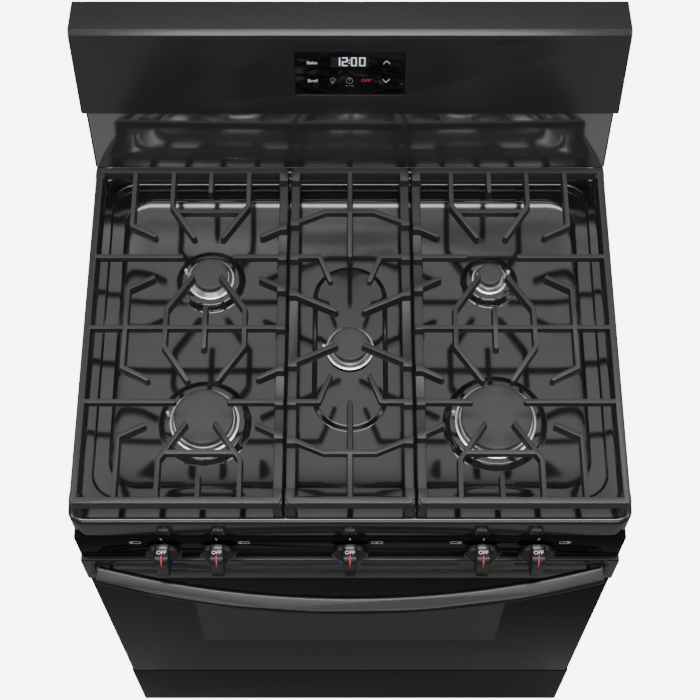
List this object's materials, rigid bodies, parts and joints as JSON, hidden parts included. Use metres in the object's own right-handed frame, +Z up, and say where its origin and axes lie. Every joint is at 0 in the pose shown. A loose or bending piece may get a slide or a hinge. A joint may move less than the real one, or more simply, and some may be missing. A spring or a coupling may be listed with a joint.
{
  "type": "freestanding gas range",
  "caption": "Freestanding gas range: sealed burners under cast grates, touch-clock backguard, turning knobs, drop-down glass door and a storage drawer.",
  "frame": {"origin": "on the floor, under the middle of the range's bounding box", "axes": "+Z up, the front with the door and knobs faces -Y, +X to the right seen from the front"},
  "size_m": [0.759, 0.7314, 1.218],
  "materials": {
    "enamel": "glossy black porcelain enamel",
    "black_panel": "gloss black paint",
    "backguard_steel": "satin black coated steel",
    "trim_steel": "satin dark coated steel",
    "zinc_steel": "galvanised",
    "screw_steel": "zinc plated",
    "foot_plastic": "moulded",
    "gland_plastic": "moulded",
    "oven_enamel": "speckled dark enamel",
    "gasket": "woven glass fibre",
    "burner_tube": "aluminised steel, heat tinted",
    "lamp_glass": "clear domed",
    "rack_chrome": "polished wire",
    "door_glass": "black tinted, polished",
    "clear_glass": "clear",
    "drawer_paint": "semi-gloss dark grey",
    "cast_iron": "matte black enamelled",
    "cap_enamel": "matte black enamel",
    "burner_aluminium": "machined bright",
    "igniter_ceramic": "white with a steel tip",
    "gas_pipe": "drawn tube",
    "valve_brass": "machined",
    "knob_plastic": "gloss black with a red pointer",
    "touch_glass": "black printed",
    "circuit_board": "printed board"
  },
  "bodies": {
    "range": {"cooktop_deck": "enamel", "side_panel_left": "black_panel", "side_panel_right": "black_panel", "control_panel": "black_panel", "backguard_shell": "backguard_steel", "backguard_riser": "backguard_steel", "backguard_end_caps": "backguard_steel", "rear_cover": "zinc_steel", "base_frame": "zinc_steel", "front_frame": "zinc_steel", "hinge_receivers": "zinc_steel", "drawer_rails": "zinc_steel", "rear_screws": "screw_steel", "leveling_feet": "foot_plastic", "power_gland": "gland_plastic", "oven_liner": "oven_enamel", "oven_bottom_panel": "oven_enamel", "door_gasket": "gasket", "oven_burners": "burner_tube", "oven_lamp": "lamp_glass", "rack_guides": "rack_chrome", "burner_head_left_rear": "burner_aluminium", "burner_head_left_front": "burner_aluminium", "burner_head_center": "burner_aluminium", "burner_head_right_rear": "burner_aluminium", "burner_head_right_front": "burner_aluminium", "igniters": "igniter_ceramic", "gas_supply": "gas_pipe", "burner_feed_tubes": "gas_pipe", "gas_valves": "valve_brass", "control_glass": "touch_glass", "display_board": "circuit_board"},
    "oven_door": {"door_top_trim": "trim_steel", "door_glass": "door_glass", "door_inner_panel": "oven_enamel", "door_inner_glass": "clear_glass", "door_handle": "trim_steel", "door_hinge_arms": "zinc_steel"},
    "storage_drawer": {"drawer_front": "black_panel", "drawer_box": "drawer_paint"},
    "rack_lower": {"oven_rack_lower": "rack_chrome"},
    "rack_upper": {"oven_rack_upper": "rack_chrome"},
    "left_grate": {"grate_left": "cast_iron"},
    "center_grate": {"grate_center": "cast_iron"},
    "right_grate": {"grate_right": "cast_iron"},
    "cap_left_rear": {"burner_cap_left_rear": "cap_enamel"},
    "cap_left_front": {"burner_cap_left_front": "cap_enamel"},
    "cap_center": {"burner_cap_center": "cap_enamel"},
    "cap_right_rear": {"burner_cap_right_rear": "cap_enamel"},
    "cap_right_front": {"burner_cap_right_front": "cap_enamel"},
    "stem_1": {"valve_stem_1": "valve_brass"},
    "knob_1": {"knob_1": "knob_plastic"},
    "stem_2": {"valve_stem_2": "valve_brass"},
    "knob_2": {"knob_2": "knob_plastic"},
    "stem_3": {"valve_stem_3": "valve_brass"},
    "knob_3": {"knob_3": "knob_plastic"},
    "stem_4": {"valve_stem_4": "valve_brass"},
    "knob_4": {"knob_4": "knob_plastic"},
    "stem_5": {"valve_stem_5": "valve_brass"},
    "knob_5": {"knob_5": "knob_plastic"}
  },
  "joints": [
    {"name": "door_hinge", "type": "hinge", "parent": "range", "child": "oven_door", "pos_m": [0, -0.2885, 0.2375], "axis": [1, 0, 0], "range_deg": [0, 90]},
    {"name": "drawer_slide", "type": "slide", "parent": "range", "child": "storage_drawer", "axis": [0, -1, 0], "range_m": [0, 0.35]},
    {"name": "rack_lower_slide", "type": "slide", "parent": "range", "child": "rack_lower", "axis": [0, -1, 0], "range_m": [0, 0.012]},
    {"name": "rack_upper_slide", "type": "slide", "parent": "range", "child": "rack_upper", "axis": [0, -1, 0], "range_m": [0, 0.012]},
    {"name": "left_grate_lift", "type": "slide", "parent": "range", "child": "left_grate", "axis": [0, 0, 1], "range_m": [0, 0.08]},
    {"name": "center_grate_lift", "type": "slide", "parent": "range", "child": "center_grate", "axis": [0, 0, 1], "range_m": [0, 0.08]},
    {"name": "right_grate_lift", "type": "slide", "parent": "range", "child": "right_grate", "axis": [0, 0, 1], "range_m": [0, 0.08]},
    {"name": "cap_left_rear_lift", "type": "slide", "parent": "range", "child": "cap_left_rear", "axis": [0, 0, 1], "range_m": [0, 0.018]},
    {"name": "cap_left_front_lift", "type": "slide", "parent": "range", "child": "cap_left_front", "axis": [0, 0, 1], "range_m": [0, 0.018]},
    {"name": "cap_center_lift", "type": "slide", "parent": "range", "child": "cap_center", "axis": [0, 0, 1], "range_m": [0, 0.018]},
    {"name": "cap_right_rear_lift", "type": "slide", "parent": "range", "child": "cap_right_rear", "axis": [0, 0, 1], "range_m": [0, 0.018]},
    {"name": "cap_right_front_lift", "type": "slide", "parent": "range", "child": "cap_right_front", "axis": [0, 0, 1], "range_m": [0, 0.018]},
    {"name": "knob_1_turn", "type": "hinge", "parent": "range", "child": "stem_1", "pos_m": [-0.258, -0.3, 0.841], "axis": [0, 1, 0], "range_deg": [-235, 0]},
    {"name": "knob_1_push", "type": "slide", "parent": "stem_1", "child": "knob_1", "axis": [0, 1, 0], "range_m": [0, 0.0025], "stiffness_N_per_m": 800},
    {"name": "knob_2_turn", "type": "hinge", "parent": "range", "child": "stem_2", "pos_m": [-0.1825, -0.3, 0.841], "axis": [0, 1, 0], "range_deg": [-235, 0]},
    {"name": "knob_2_push", "type": "slide", "parent": "stem_2", "child": "knob_2", "axis": [0, 1, 0], "range_m": [0, 0.0025], "stiffness_N_per_m": 800},
    {"name": "knob_3_turn", "type": "hinge", "parent": "range", "child": "stem_3", "pos_m": [0, -0.3, 0.841], "axis": [0, 1, 0], "range_deg": [-235, 0]},
    {"name": "knob_3_push", "type": "slide", "parent": "stem_3", "child": "knob_3", "axis": [0, 1, 0], "range_m": [0, 0.0025], "stiffness_N_per_m": 800},
    {"name": "knob_4_turn", "type": "hinge", "parent": "range", "child": "stem_4", "pos_m": [0.1825, -0.3, 0.841], "axis": [0, 1, 0], "range_deg": [-235, 0]},
    {"name": "knob_4_push", "type": "slide", "parent": "stem_4", "child": "knob_4", "axis": [0, 1, 0], "range_m": [0, 0.0025], "stiffness_N_per_m": 800},
    {"name": "knob_5_turn", "type": "hinge", "parent": "range", "child": "stem_5", "pos_m": [0.258, -0.3, 0.841], "axis": [0, 1, 0], "range_deg": [-235, 0]},
    {"name": "knob_5_push", "type": "slide", "parent": "stem_5", "child": "knob_5", "axis": [0, 1, 0], "range_m": [0, 0.0025], "stiffness_N_per_m": 800}
  ]
}
